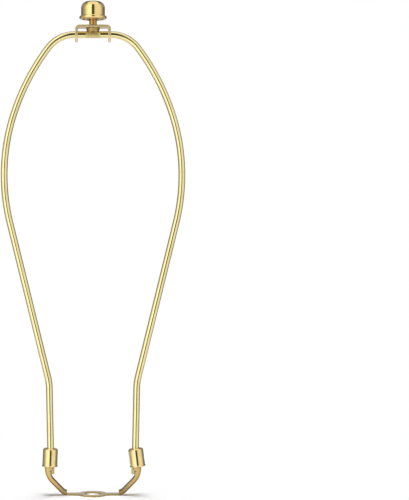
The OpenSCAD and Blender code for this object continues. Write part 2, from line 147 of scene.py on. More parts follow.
def brass(name, bright, deep, roughness, spread, lines, line_height, grain, bands=()):
    """Lacquered brass skin: two tones that drift over millimetres, and fine lines along the work.

    lines is (lines per millimetre across, per millimetre along) in the piece's own UV map,
    which is in millimetres; line_height is their depth in metres, grain the metal's mottling
    per millimetre, and spread how far the roughness strays. bands are stripes of painted shade along
    a folded strip: (middle, half width) across its unrolled section, and the colour painted there.
    """
    material = bpy.data.materials.new(name)
    material.use_nodes = True
    tree = material.node_tree
    tree.nodes.clear()
    place = add(tree, "ShaderNodeTexCoord")
    drift = add(tree, "ShaderNodeTexNoise", {"Scale": 90.0, "Detail": 2.0, "Roughness": 0.5},
                {"Vector": place.outputs["Object"]})
    mottle = add(tree, "ShaderNodeTexNoise", {"Scale": grain * 1000, "Detail": 4.0, "Roughness": 0.6},
                 {"Vector": place.outputs["Object"]})
    tones = add(tree, "ShaderNodeMath", links={0: drift.outputs["Fac"], 1: mottle.outputs["Fac"]},
                operation="ADD")
    share = add(tree, "ShaderNodeMapRange", {"From Min": 0.75, "From Max": 1.3}, {"Value": tones.outputs[0]})
    colour = add(tree, "ShaderNodeMix", {"A": hex_linear(bright), "B": hex_linear(deep)},
                 {"Factor": share.outputs["Result"]}, data_type="RGBA")
    across = add(tree, "ShaderNodeSeparateXYZ", links={"Vector": place.outputs["UV"]})
    # Each band paints shade over the metal's tones: a stripe of darker colour across the unrolled section.
    for middle, half, tone in bands:
        inside = add(tree, "ShaderNodeMath", {1: ARM_UV + middle, 2: half}, {0: across.outputs["X"]},
                     operation="COMPARE")
        colour = add(tree, "ShaderNodeMix", {"B": hex_linear(tone)},
                     {"Factor": inside.outputs[0], "A": colour.outputs["Result"]}, data_type="RGBA")
    along = add(tree, "ShaderNodeMapping", {"Scale": (lines[0], lines[1], 1.0)},
                {"Vector": place.outputs["UV"]})
    streaks = add(tree, "ShaderNodeTexNoise", {"Scale": 1.0, "Detail": 3.0, "Roughness": 0.7},
                  {"Vector": along.outputs["Vector"]})
    gloss = add(tree, "ShaderNodeMath", links={0: streaks.outputs["Fac"], 1: drift.outputs["Fac"]},
                operation="MULTIPLY")
    rough = add(tree, "ShaderNodeMapRange",
                {"From Min": 0.1, "From Max": 0.45, "To Min": roughness - spread, "To Max": roughness + spread},
                {"Value": gloss.outputs[0]})
    relief = add(tree, "ShaderNodeBump", {"Strength": 1.0, "Distance": line_height},
                 {"Height": streaks.outputs["Fac"]})
    shader = add(tree, "ShaderNodeBsdfPrincipled",
                 {"Metallic": 1.0, "Coat Weight": LACQUER, "Coat Roughness": 0.04, "Coat IOR": 1.5},
                 {"Base Color": colour.outputs["Result"], "Roughness": rough.outputs["Result"],
                  "Normal": relief.outputs["Normal"]})
    add(tree, "ShaderNodeOutputMaterial", links={"Surface": shader.outputs["BSDF"]})
    return material


# Brass plate over drawn steel wire: a bright lemon gold, a soft gleam with faint drawing lines along it
PLATED_WIRE = brass("brass plate on drawn wire", "F7EAAA", "F1DE9A", 0.14, 0.03, (2.2, 0.02), 1e-7, 0.5)
# The same wire where a press has flattened it: dulled by the tool, so no lamp shows up in it
PRESSED_WIRE = brass("brass plate on pressed wire", "EFDE96", "DCC680", 0.42, 0.06, (1.2, 0.4), 3e-7, 0.8)
# Brass plate over tumbled strip steel: satin, a deeper gold that no lamp shows up in. Across its arms
# it takes bands of painted shade: darker folds, a shadowed channel inside and dark rims.
PLATED_STRIP = brass("brass plate on tumbled strip", "F6DA90", "EACA7C", 0.42, 0.04, (0.9, 0.4), 3e-7, 0.8,
                      ARM_SHADE_BANDS)
# Drawn cup of brass, buffed and lacquered: near a mirror, palest of all
FERRULE_BRASS = brass("buffed drawn brass", "F7E09C", "F1D48E", 0.1, 0.02, (0.6, 0.08), 1e-7, 0.4)
# Plated strap, blanked and folded: satin and pale, a little olive
BRACKET_BRASS = brass("brass plate on folded strap", "F7E2A8", "EDD292", 0.42, 0.05, (0.8, 0.3), 3e-7, 0.7)
# Turned head: the same plate over fine turning marks, dull and olive
TURNED_BRASS = brass("brass plate on turned steel", "BDA25E", "AC8E4A", 0.5, 0.06, (0.1, 3.0), 4e-7, 0.6)
# The neck and thread: a deeper, redder gold, the painted reflection of the gold cap and bracket round them
NECK_BRASS = brass("turned steel with painted gold reflection", "C8983E", "A87628", 0.2, 0.05, (0.1, 3.0), 3e-7, 0.6)
# Spun and buffed cap: the clearest mirror on the harp
BUFFED_BRASS = brass("spun and buffed brass", "F7DC90", "F2CF80", 0.07, 0.02, (0.05, 1.2), 8e-8, 0.3)
# Hub inside the cap: plain turned brass, never buffed
HUB_BRASS = brass("plain turned brass", "D8BC7C", "BD9C5A", 0.32, 0.07, (0.1, 3.0), 8e-7, 0.6)


# Shapes

def rounded(corners, radii, steps=5):
    """A closed outline with its corners rounded: each takes steps + 1 points."""
    outline = []
    for i, corner in enumerate(corners):
        here = Vector(corner)
        back = Vector(corners[i - 1]) - here
        on = Vector(corners[(i + 1) % len(corners)]) - here
        back.normalize()
        on.normalize()
        half = back.angle(on) / 2
        reach = radii[i] / math.tan(half)
        centre = here + (back + on).normalized() * (radii[i] / math.sin(half))
        first, last = here + back * reach - centre, here + on * reach - centre
        turn = first.angle(last) if radii[i] > 0 else 0.0
        for k in range(steps + 1):
            if turn == 0.0:
                outline.append(tuple(here))
                continue
            a, b = math.sin(turn * (1 - k / steps)), math.sin(turn * k / steps)
            outline.append(tuple(centre + (first * a + last * b) / math.sin(turn)))
    return outline


def length(a, b):
    return math.dist(a, b)


class Shell:
    """Points and faces of one piece in millimetres, with a UV map in millimetres."""

    def __init__(self):
        self.verts, self.faces, self.uvs = [], [], []

    def skin(self, rings, loop=False, ends=True, round_loop=True):
        """Joins rings of points, one to the next; loop joins the last to the first, ends close them."""
        base, n = len(self.verts), len(rings[0])
        for ring in rings:
            self.verts.extend(ring)
        across = [0.0]
        middle = rings[len(rings) // 2]
        for j in range(n):
            across.append(across[-1] + length(middle[j], middle[(j + 1) % n]))
        along = [0.0]
        count = len(rings) if loop else len(rings) - 1
        for i in range(count):
            here, there = rings[i], rings[(i + 1) % len(rings)]
            along.append(along[-1] + length(here[0], there[0]))
            for j in range(n if round_loop else n - 1):
                k = (j + 1) % n
                a, b = base + i * n, base + (i + 1) % len(rings) * n
                self.faces.append([a + j, a + k, b + k, b + j])
                self.uvs.append([(across[j], along[i]), (across[j + 1], along[i]),
                                 (across[j + 1], along[i + 1]), (across[j], along[i + 1])])
        if ends and not loop:
            for start in (base, base + (len(rings) - 1) * n):
                self.faces.append([start + j for j in range(n)])
                self.uvs.append([(self.verts[start + j][0], self.verts[start + j][1]) for j in range(n)])
        return self

    def mesh(self, name):
        """The shell as a closed mesh in metres, its faces turned outwards."""
        bm = bmesh.new()
        layer = bm.loops.layers.uv.new("UVMap")
        points = [bm.verts.new([c * MM for c in v]) for v in self.verts]
        for face, uv in zip(self.faces, self.uvs):
            made = bm.faces.new([points[i] for i in face])
            for loop, pair in zip(made.loops, uv):
                loop[layer].uv = pair
        bmesh.ops.remove_doubles(bm, verts=bm.verts[:], dist=1e-8)
        bmesh.ops.dissolve_degenerate(bm, dist=1e-8, edges=bm.edges[:])
        bmesh.ops.recalc_face_normals(bm, faces=bm.faces[:])
        mesh = bpy.data.meshes.new(name)
        bm.to_mesh(mesh)
        bm.free()
        return mesh


def lathe(section, closed=True, centre=(0.0, 0.0)):
    """A shell turned about the Z axis from (radius, height) pairs."""
    rings = []
    for r, z in section:
        rings.append([(centre[0] + r * math.cos(a), centre[1] + r * math.sin(a), z)
                      for a in (math.tau * j / ROUND_SIDES for j in range(ROUND_SIDES))])
    return Shell().skin(rings, loop=closed, ends=False)


def object_of(mesh):
    made = bpy.data.objects.new(mesh.name, mesh)
    bpy.context.scene.collection.objects.link(made)
    return made


def applied(piece):
    """The piece with its modifiers made part of its mesh."""
    graph = bpy.context.evaluated_depsgraph_get()
    graph.update()
    mesh = bpy.data.meshes.new_from_object(piece.evaluated_get(graph), preserve_all_data_layers=True,
                                           depsgraph=graph)
    mesh.name = piece.name
    piece.modifiers.clear()
    piece.data = mesh
    return piece


def combine(piece, others, operation):
    """Joins other shells to a piece, or cuts them out of it."""
    for other in others:
        step = piece.modifiers.new("step", "BOOLEAN")
        step.operation, step.solver, step.object = operation, "EXACT", other
        applied(piece)
        bpy.data.objects.remove(other)
    return piece


def block(name, low, high, edge=0.0):
    """A box between two corners, its upright edges rounded."""
    outline = rounded([(low[0], low[1]), (high[0], low[1]), (high[0], high[1]), (low[0], high[1])],
                      [edge] * 4, 3)
    rings = [[(x, y, z) for x, y in outline] for z in (low[2], high[2])]
    return object_of(Shell().skin(rings).mesh(name))


def rod_x(name, r, half, z):
    """A rod along X through the axis of the wire's top."""
    rings = [[(x, r * math.cos(a), z + r * math.sin(a))
              for a in (math.tau * j / ROUND_SIDES for j in range(ROUND_SIDES))] for x in (-half, half)]
    return object_of(Shell().skin(rings).mesh(name))


def mirrored(piece):
    """A copy of a piece on the other side of the harp's middle."""
    mesh = piece.data.copy()
    for vert in mesh.vertices:
        vert.co.x = -vert.co.x
    mesh.flip_normals()
    return object_of(mesh)


def plate(name, outline, holes, low, high, edge, steps=4):
    """A flat plate with holes, its rims rounded."""
    bm = bmesh.new()
    layer = bm.loops.layers.uv.new("UVMap")
    drops = []
    for k in range(steps + 1):
        a = math.pi / 2 * k / steps
        drops.append((edge * (1 - math.sin(a)), high - edge * (1 - math.cos(a))))
    drops += [(o, low + high - z) for o, z in reversed(drops)]
    flats = ([], [])
    for loop_points in [outline] + holes:
        n = len(loop_points)
        area = sum(loop_points[i - 1][0] * loop_points[i][1] - loop_points[i][0] * loop_points[i - 1][1]
                   for i in range(n))
        inwards = 1 if (area > 0) == (loop_points is outline) else -1
        rings = []
        for offset, z in drops:
            ring = []
            for i in range(n):
                before, here, after = (Vector(loop_points[k % n]) for k in (i - 1, i, i + 1))
                side = (here - before).normalized() + (after - here).normalized()
                normal = Vector((-side.y, side.x)).normalized() * inwards
                ring.append(bm.verts.new([c * MM for c in (*(here + normal * offset), z)]))
            rings.append(ring)
        for upper, lower in zip(rings, rings[1:]):
            for i in range(n):
                bm.faces.new([upper[i], upper[(i + 1) % n], lower[(i + 1) % n], lower[i]])
        for flat, ring in zip(flats, (rings[0], rings[-1])):
            flat.extend(bm.edges.get([ring[i], ring[(i + 1) % n]]) for i in range(n))
    for flat in flats:
        bmesh.ops.triangle_fill(bm, edges=flat, use_beauty=True, use_dissolve=False)
    bmesh.ops.recalc_face_normals(bm, faces=bm.faces[:])
    for face in bm.faces:
        for loop in face.loops:
            loop[layer].uv = (loop.vert.co.x / MM, loop.vert.co.y / MM)
    mesh = bpy.data.meshes.new(name)
    bm.to_mesh(mesh)
    bm.free()
    return object_of(mesh)


def finish(piece, material, body, nodes=(), crease=38):
    """Smooth faces with flats kept flat, the material, the body and what it replaces."""
    piece.data.materials.clear()
    piece.data.materials.append(material)
    for face in piece.data.polygons:
        face.material_index = 0
    piece.data.shade_smooth()
    piece.data.set_sharp_from_angle(angle=math.radians(crease))
    weigh = piece.modifiers.new("flats stay flat", "WEIGHTED_NORMAL")
    weigh.keep_sharp = True
    applied(piece)
    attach(piece, body)
    if nodes:
        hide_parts(*nodes)
    return piece


# The bow

def outward(heading):
    return math.sin(math.radians(heading)), math.cos(math.radians(heading))


def centreline():
    """Right half of the wire from the middle of its top: (x, z, heading below level)."""
    path = [(CRIMP_HALF * 2 * k / 26, WIRE_Z, 0.0) for k in range(26)]
    path.append((TOP_HALF, WIRE_Z, 0.0))
    x, z, heading = path[-1]
    flank, leg = 90 + FLANK_SLOPE, 90 + LEG_LEAN
    crown_x = CROWN_R * outward(CROWN_TURN)[0]
    shoulder_r = ((HALF_SPAN - TOP_HALF - crown_x - SIDE_R * (1 - outward(SHOULDER_END)[0]))
                  / (outward(SHOULDER_END)[0] - outward(CROWN_TURN)[0]))
    for radius, turn_to, steps in ((CROWN_R, CROWN_TURN, 24), (shoulder_r, SHOULDER_END, 24),
                                   (SIDE_R, flank, 40)):
        out = outward(heading)
        centre = (x - radius * out[0], z - radius * out[1])
        start = heading
        for k in range(1, steps + 1):
            heading = start + (turn_to - start) * k / steps
            out = outward(heading)
            x, z = centre[0] + radius * out[0], centre[1] + radius * out[1]
            path.append((x, z, heading))
    slope, lean = math.radians(FLANK_SLOPE), math.tan(math.radians(LEG_LEAN))
    knee_dx = KNEE_R * (outward(leg)[0] - outward(flank)[0])
    knee_dz = KNEE_R * (outward(leg)[1] - outward(flank)[1])
    run = ((x - knee_dx - (z - knee_dz - FERRULE_FOOT) * lean - FOOT_X)
           / (math.sin(slope) - math.cos(slope) * lean))
    for k in range(1, 7):
        path.append((x - run * math.sin(slope) * k / 6, z - run * math.cos(slope) * k / 6, flank))
    x, z = path[-1][:2]
    out = outward(flank)
    centre = (x + KNEE_R * out[0], z + KNEE_R * out[1])
    for k in range(1, 13):
        heading = flank + (leg - flank) * k / 12
        out = outward(heading)
        path.append((centre[0] - KNEE_R * out[0], centre[1] - KNEE_R * out[1], heading))
    x, z = path[-1][:2]
    stops = [z + (TANG_TOP + 4 - z) * k / 4 for k in range(1, 4)]
    stops += [TANG_TOP + 4 - 0.25 * k for k in range(25)]
    low = stops[-1]
    stops += [low + (TANG_END + 0.25 - low) * k / 6 for k in range(1, 7)]
    stops += [TANG_END + 0.1, TANG_END + 0.03, TANG_END]
    path += [(x - (z - stop) * lean, stop, leg) for stop in stops]
    return path


def soft_limit(value, limit, blend):
    """The value held under a limit, with the corner rounded over."""
    gap = value - limit
    if gap < -blend:
        return value
    if gap > blend:
        return limit
    return value - (gap + blend) ** 2 / (4 * blend)


def wire_ring(x, z, heading):
    """The wire's section at a place on its centreline, crimped under the stud, pressed flat at its foot."""
    out = outward(heading)
    ring = []
    rise = min(max((CRIMP_HALF + CRIMP_RAMP - x) / CRIMP_RAMP, 0.0), 1.0) if z > WIRE_Z - 1e-6 else 0.0
    side = WIRE_R - CRIMP_DEPTH * rise * rise * (3 - 2 * rise)
    above = z - TANG_TOP
    pressed_x = TANG_IN + TANG_T + max(above, 0.0) * (FOOT_X + WIRE_R * 2 - TANG_IN - TANG_T) / 4.4
    pressed_y = TANG_W / 2 + max(above, 0.0) * 0.3
    drawn_in = max(0.25 - (z - TANG_END), 0.0) * 0.9
    for j in range(WIRE_SIDES):
        a = math.tau * (j + 0.5) / WIRE_SIDES
        u, y = WIRE_R * math.cos(a), WIRE_R * math.sin(a)
        px, pz = x + u * out[0], z + u * out[1]
        if rise > 0:
            y = math.copysign(soft_limit(abs(y), side, 0.06), y)
        if above < 4:
            px = soft_limit(px, pressed_x, 0.15)
            y = math.copysign(soft_limit(abs(y), pressed_y, 0.12), y)
        if drawn_in > 0:
            middle = TANG_IN + TANG_T / 2
            px += math.copysign(min(drawn_in, abs(px - middle)), middle - px)
            y -= math.copysign(min(drawn_in, abs(y)), y)
        ring.append((px, y, pz))
    return ring


def harp_bow():
    right = [wire_ring(*stop) for stop in centreline()]
    left = [[(-x, y, z) for x, y, z in ring] for ring in right[:0:-1]]
    bow = object_of(Shell().skin(left + right).mesh("bent_wire_bow"))
    half = TONGUE_W / 2 + CLEARANCE
    windows = []
    for side in (-1, 1):
        ends = sorted((side * (TANG_IN - WIRE_R), side * (TANG_IN + WIRE_R * 2)))
        windows.append(block("window", (ends[0], -half, TONGUE_Z - 0.8),
                             (ends[1], half, TONGUE_Z + SHEET + CLEARANCE)))
    combine(bow, windows, "DIFFERENCE")
    finish(bow, PLATED_WIRE, "harp", ["harp_bow"])
    bow.data.materials.append(PRESSED_WIRE)
    for face in bow.data.polygons:
        x, z = abs(face.center.x) / MM, face.center.z / MM
        if z < TANG_TOP or (x < CRIMP_HALF + CRIMP_RAMP and z > WIRE_Z - WIRE_R):
            face.material_index = 1
    return bow


# The saddle

def notch_depth(low):
    """How deep the flanges reach round the ear's bend, at an angle below its centre.

    They are deeper beside the wire's foot, and a slit parts them there: the V notch, folded shut.
    """
    a = math.radians(low)
    tab_x, notch_r = EAR_BEND_R - TAB_DEPTH, EAR_BEND_R - SHEET - NOTCH_WEB
    if low >= math.degrees(math.acos(tab_x / (EAR_BEND_R - ARM_DEPTH))):
        return ARM_DEPTH
    if low >= NOTCH_APEX + NOTCH_OPEN:
        return EAR_BEND_R - tab_x / math.cos(a)
    apex, turn = math.radians(NOTCH_APEX), math.radians(NOTCH_APEX + NOTCH_OPEN)
    point = Vector((notch_r * math.cos(apex), -notch_r * math.sin(apex)))
    lower = Vector((tab_x, -tab_x * math.tan(turn)))
    upper = Vector((EAR_BEND_R - EAR_DEPTH, -NOTCH_TOP))
    way = Vector((math.cos(a), -math.sin(a)))
    if way.y > upper.normalized().y:
        return EAR_BEND_R - upper.x / way.x
    corner = lower if low >= NOTCH_APEX else upper
    return EAR_BEND_R - point.cross(corner - point) / way.cross(corner - point)


def channel_ring(angle, place, depth):
    """The folded channel's section at a station of its path; angle is up from +X."""
    half, inner, fold, tip = STRAP_W / 2, STRAP_W / 2 - SHEET, 0.2, 0.14
    corners = [(depth, -inner), (depth, -half), (0, -half), (0, half), (depth, half), (depth, inner),
               (SHEET, inner), (SHEET, -inner)]
    section = rounded(corners, [tip, tip, fold + SHEET, fold + SHEET, tip, tip, fold, fold])
    c, s = math.cos(math.radians(angle)), math.sin(math.radians(angle))
    return [(place[0] - d * c, y, place[1] - d * s) for d, y in section]


def saddle_arm():
    """One arm and ear of the saddle, on the right."""
    stations = []
    for k in range(11):
        angle = -90 + ARM_RISE * k / 10
        a = math.radians(angle)
        place = (BASE_HALF + BASE_BEND_R * math.cos(a), BASE_BEND_R * (1 + math.sin(a)))
        stations.append((angle, place, ARM_DEPTH))
    lows = [45, 42, 39, 36, 33, 30.5, 28.6, 28.1, 27.6, 26, 24, 22, 20, 18, 16, 14.6, 13.7, 13.4, 13.3, 13.2, 13.1,
            13, 12.6, 12, 11, 10, 9, 8, 7.5, 7.2, 6.9, 6, 4.5, 3, 1.5, 0]
    for low in lows:
        a = math.radians(-low)
        place = (EAR_BEND_X + EAR_BEND_R * math.cos(a), EAR_Z + EAR_BEND_R * math.sin(a))
        stations.append((-low, place, notch_depth(low)))
    for rise in (0.25, 0.5, 0.75, 1.0):
        stations.append((0, (EAR_OUT, EAR_Z + EAR_CHANNEL_H * rise), EAR_DEPTH))
    shell = Shell().skin([channel_ring(*s) for s in stations])
    shell.uvs = [[(u + ARM_UV, v) for u, v in uv] for uv in shell.uvs]
    arm = object_of(shell.mesh("arm"))
    half = EAR_TIP_W / 2
    corners = [(-half, EAR_Z + EAR_CHANNEL_H - 1.5), (half, EAR_Z + EAR_CHANNEL_H - 1.5),
               (half, EAR_Z + EAR_H), (-half, EAR_Z + EAR_H)]
    outline = rounded(corners, [0.0, 0.0, 0.7, 0.7], 4)
    hair = 0.004
    ear_end = object_of(Shell().skin([[(x, y, z) for y, z in outline]
                                      for x in (EAR_IN + hair, EAR_OUT - hair)]).mesh("ear end"))
    tongue = block("tongue", (TONGUE_END, -TONGUE_W / 2, TONGUE_Z),
                   (EAR_IN + SHEET / 2, TONGUE_W / 2, TONGUE_Z + SHEET), 0.12)
    window = block("window", (EAR_IN - SHEET, -TONGUE_W / 2, TONGUE_Z + SHEET),
                   (EAR_OUT + SHEET, TONGUE_W / 2, TONGUE_Z + SHEET + EAR_IN - TONGUE_END))
    combine(arm, [ear_end, tongue], "UNION")
    return combine(arm, [window], "DIFFERENCE")


def base_plate():
    """The strap between the arms and its ring round the hole."""
    half, fillet, lap = STRAP_W / 2 - 0.004, 1.5, 0.3
    end = BASE_HALF + lap
    reach = RING_R + fillet
    cx = math.sqrt(reach ** 2 - (half + fillet) ** 2)
    quarter = [(end, half)]
    start, stop = -90.0, 180 + math.degrees(math.atan2(half + fillet, cx))
    stop -= 360
    for k in range(9):
        a = math.radians(start + (stop - start) * k / 8)
        quarter.append((cx + fillet * math.cos(a), half + fillet + fillet * math.sin(a)))
    first = math.degrees(math.atan2(half + fillet, cx))
    for k in range(1, 25):
        a = math.radians(first + (90 - first) * k / 24)
        quarter.append((RING_R * math.cos(a), RING_R * math.sin(a)))
    upper = quarter + [(-x, y) for x, y in quarter[-2::-1]]
    outline = upper + [(x, -y) for x, y in upper[::-1]]
    hole = [(BORE_R * math.cos(math.tau * k / ROUND_SIDES), BORE_R * math.sin(math.tau * k / ROUND_SIDES))
            for k in range(ROUND_SIDES)]
    return plate("folded_saddle", outline, [hole], 0.004, SHEET - 0.004, 0.15)


def saddle():
    base = base_plate()
    arm = saddle_arm()
    combine(base, [mirrored(arm), arm], "UNION")
    return finish(base, PLATED_STRIP, "harp", ["saddle"])


# The ferrules

def ferrule(side):
    """A drawn cup that stands over the joint of foot and ear, leaning as it does in life."""
    hole, inner = WIRE_R + 0.25, FERRULE_R - FERRULE_T
    flare = LIP_R - FERRULE_R
    corners = [(hole, 0), (FERRULE_R, 0), (FERRULE_R, LIP_H - FERRULE_H), (LIP_R, LIP_H / 2 - FERRULE_H),
               (LIP_R, -FERRULE_H), (inner + flare, -FERRULE_H), (inner + flare, LIP_H / 2 - FERRULE_H),
               (inner, LIP_H - FERRULE_H), (inner, -FERRULE_T), (hole, -FERRULE_T)]
    radii = [0.18, FERRULE_ROUND, 0.5, 0.22, 0.17, 0.17, 0.2, 0.5, FERRULE_ROUND - FERRULE_T, 0.18]
    piece = object_of(lathe(rounded(corners, radii, 7)).mesh(f"{side}_ferrule_cup"))
    sign = 1 if side == "right" else -1
    lean = math.radians(-LEAN[side] * sign)
    top_x = sign * (FOOT_X + (FERRULE_TOP - FERRULE_FOOT) * math.tan(math.radians(LEG_LEAN)))
    for vert in piece.data.vertices:
        x, z = vert.co.x, vert.co.z
        vert.co.x = top_x * MM + x * math.cos(lean) + z * math.sin(lean)
        vert.co.z = FERRULE_TOP * MM - x * math.sin(lean) + z * math.cos(lean)
    return finish(piece, FERRULE_BRASS, f"{side}_ferrule", [f"ferrule_{side}"])


# The swivel

def swivel_bracket():
    """A flat blank with round ends and three holes, folded over the wire."""
    half_w = BRACKET_W / 2
    flat = TOP_HALF - 0.3 - BRACKET_R
    bend = BRACKET_R * math.pi / 2
    centre = flat + bend + (HARP_H - BRACKET_R - WIRE_Z)
    steps = 32
    right = [(centre + half_w * math.sin(math.pi * k / steps), half_w * math.cos(math.pi * k / steps))
             for k in range(steps + 1)]
    outline = right + [(-x, -y) for x, y in right]
    holes = []
    for middle, r in ((centre, WIRE_R + CLEARANCE), (-centre, WIRE_R + CLEARANCE), (0.0, STUD_FOOT_R + 0.05)):
        holes.append([(middle + r * math.cos(math.tau * k / 64), r * math.sin(math.tau * k / 64))
                      for k in range(64)])
    piece = plate("folded_bracket", outline, holes, 0.0, BRACKET_T, 0.28)
    bm = bmesh.new()
    bm.from_mesh(piece.data)
    for k in range(13):
        for side in (-1, 1):
            bmesh.ops.bisect_plane(bm, geom=bm.verts[:] + bm.edges[:] + bm.faces[:],
                                   plane_co=(side * (flat + bend * k / 12) * MM, 0, 0), plane_no=(1, 0, 0))
    for vert in bm.verts:
        s, depth = abs(vert.co.x) / MM, BRACKET_T - vert.co.z / MM
        turn = min(max((s - flat) / BRACKET_R, 0.0), math.pi / 2)
        past = max(s - flat - bend, 0.0)
        r = BRACKET_R - depth
        x = min(s, flat) + r * math.sin(turn)
        z = HARP_H - BRACKET_R + r * math.cos(turn) - past
        vert.co.x, vert.co.z = math.copysign(x * MM, vert.co.x), z * MM
    bm.to_mesh(piece.data)
    bm.free()
    return finish(piece, BRACKET_BRASS, "swivel", ["swivel_bracket"])


def thread_turns(name, radius, start, turns, depth, material, inwards=False):
    """A thread's ridge wound by Geometry Nodes and made a plain mesh."""
    tree = bpy.data.node_groups.new(name, "GeometryNodeTree")
    face = tree.interface
    face.new_socket("Geometry", in_out="INPUT", socket_type="NodeSocketGeometry")
    sizes = {"Root radius": radius * MM, "Pitch": PITCH * MM, "Turns": turns, "Foot": start * MM,
             "Ridge": depth * MM}
    sockets = {key: face.new_socket(key, in_out="INPUT", socket_type="NodeSocketFloat") for key in sizes}
    face.new_socket("Geometry", in_out="OUTPUT", socket_type="NodeSocketGeometry")
    given = add(tree, "NodeGroupInput")
    rise = add(tree, "ShaderNodeMath", links={0: given.outputs["Pitch"], 1: given.outputs["Turns"]},
               operation="MULTIPLY")
    spiral = add(tree, "GeometryNodeCurveSpiral", {"Resolution": 64},
                 {"Rotations": given.outputs["Turns"], "Start Radius": given.outputs["Root radius"],
                  "End Radius": given.outputs["Root radius"], "Height": rise.outputs[0]})
    upright = add(tree, "GeometryNodeSetCurveNormal", links={"Curve": spiral.outputs["Curve"]})
    modes = [i for i in upright.inputs if i.name == "Mode"]
    if modes:
        modes[0].default_value = "Z Up"
    else:
        upright.mode = "Z_UP"
    span = add(tree, "GeometryNodeSplineParameter")
    grow = add(tree, "ShaderNodeMapRange", {"From Min": 0.0, "From Max": 0.06, "To Min": 0.05},
               {"Value": span.outputs["Factor"]})
    fade = add(tree, "ShaderNodeMapRange", {"From Min": 1.0, "From Max": 0.94, "To Min": 0.05},
               {"Value": span.outputs["Factor"]})
    both = add(tree, "ShaderNodeMath", links={0: grow.outputs["Result"], 1: fade.outputs["Result"]},
               operation="MINIMUM")
    sized = add(tree, "GeometryNodeSetCurveRadius",
                links={"Curve": upright.outputs["Curve"], "Radius": both.outputs[0]})
    ridge = add(tree, "GeometryNodeCurvePrimitiveCircle", {"Resolution": 3},
                {"Radius": given.outputs["Ridge"]})
    facing = add(tree, "GeometryNodeTransform", {"Rotation": (0.0, 0.0, math.pi if inwards else 0.0)},
                 {"Geometry": ridge.outputs["Curve"]})
    swept = add(tree, "GeometryNodeCurveToMesh", {"Fill Caps": True},
                {"Curve": sized.outputs["Curve"], "Profile Curve": facing.outputs["Geometry"]})
    lift = add(tree, "ShaderNodeCombineXYZ", links={"Z": given.outputs["Foot"]})
    placed = add(tree, "GeometryNodeTransform",
                 links={"Geometry": swept.outputs["Mesh"], "Translation": lift.outputs["Vector"]})
    real = add(tree, "GeometryNodeRealizeInstances", links={"Geometry": placed.outputs["Geometry"]})
    painted = add(tree, "GeometryNodeSetMaterial", {"Material": material},
                  {"Geometry": real.outputs["Geometry"]})
    add(tree, "NodeGroupOutput", links={"Geometry": painted.outputs["Geometry"]})
    piece = object_of(bpy.data.meshes.new(name))
    wound = piece.modifiers.new("turns", "NODES")
    wound.node_group = tree
    for key, value in sizes.items():
        wound[sockets[key].identifier] = float(value)
    return applied(piece)


def threaded_stud():
    """Head that straddles the wire, staked front and back, with the neck and thread above."""
    skirt = WIRE_Z + WIRE_R - SKIRT_DROP
    neck_top = HARP_H + NECK_H
    tip = neck_top + THREAD_L
    root = THREAD_R - 0.5
    corners = [(0, skirt), (SKIRT_R, skirt), (HEAD_R, PLATE_Z), (STUD_FOOT_R, PLATE_Z),
               (STUD_FOOT_R, HARP_H + COLLAR_H), (NECK_R, HARP_H + COLLAR_H), (NECK_R, neck_top),
               (root, neck_top + 0.3), (root, tip - 0.4), (root - 0.4, tip), (0, tip)]
    radii = [0, 0.3, 0.5, 0, 0.15, 0.1, 0.1, 0.1, 0.1, 0.1, 0]
    stud = object_of(lathe(rounded(corners, radii, 4), closed=False).mesh("turned_stud"))
    cutters = [rod_x("groove", WIRE_R + CLEARANCE, HEAD_R * 2, WIRE_Z)]
    for side in (-1, 1):
        ends = sorted((side * (SKIRT_R - STAKE_DEPTH), side * HEAD_R * 2))
        circle = [(STAKE_R * math.cos(math.tau * k / 48), skirt + STAKE_R * math.sin(math.tau * k / 48))
                  for k in range(48)]
        rings = [[(x, y, z) for x, z in circle] for y in ends]
        cutters.append(object_of(Shell().skin(rings).mesh("stake")))
    combine(stud, cutters, "DIFFERENCE")
    turns = thread_turns("stud_thread", root + 0.1, neck_top + 0.4, (THREAD_L - 0.9) / PITCH, 0.4, NECK_BRASS)
    finish(turns, NECK_BRASS, "swivel", crease=30)
    finish(stud, TURNED_BRASS, "swivel", ["threaded_stud"])
    stud.data.materials.append(NECK_BRASS)
    for face in stud.data.polygons:
        if face.center.z > HARP_H * MM:
            face.material_index = 1
    return stud


# The finial

def finial_cap():
    """Drawn cup, crowned on top, whose foot bulges into a bead and turns in under the hub's flange."""
    roll_z, roll_x = RIM_FOOT + ROLL_R, RIM_R - ROLL_R
    outer = [(0.0, CAP_TOP)]
    shoulder = math.radians(90)
    for k in range(17):
        a = shoulder * k / 16
        outer.append((CAP_R - CAP_ROUND + CAP_ROUND * math.sin(a), CAP_TOP - CAP_ROUND + CAP_ROUND * math.cos(a)))
    meet = math.acos((CAP_R - roll_x) / ROLL_R)
    for k in range(25):
        a = meet - (meet + math.pi / 2) * k / 24
        outer.append((roll_x + ROLL_R * math.cos(a), roll_z + ROLL_R * math.sin(a)))
    outer.append((roll_x - TURN_IN, RIM_FOOT))
    inner_r, core = CAP_R - CAP_T, ROLL_R - CAP_T
    inner = [(roll_x - TURN_IN, RIM_FOOT + CAP_T)]
    meet = math.acos(max(-1.0, (inner_r - roll_x) / core))
    for k in range(17):
        a = -math.pi / 2 + (math.pi / 2 + meet) * k / 16
        inner.append((roll_x + core * math.cos(a), roll_z + core * math.sin(a)))
    small = CAP_ROUND - CAP_T
    for k in range(13):
        a = shoulder * (1 - k / 12)
        inner.append((inner_r - small + small * math.sin(a), CAP_TOP - CAP_T - small + small * math.cos(a)))
    inner.append((0.0, CAP_TOP - CAP_T))
    cap = object_of(lathe(outer + inner, closed=False).mesh("spun_cap"))
    return finish(cap, BUFFED_BRASS, "finial", ["finial_cap"])


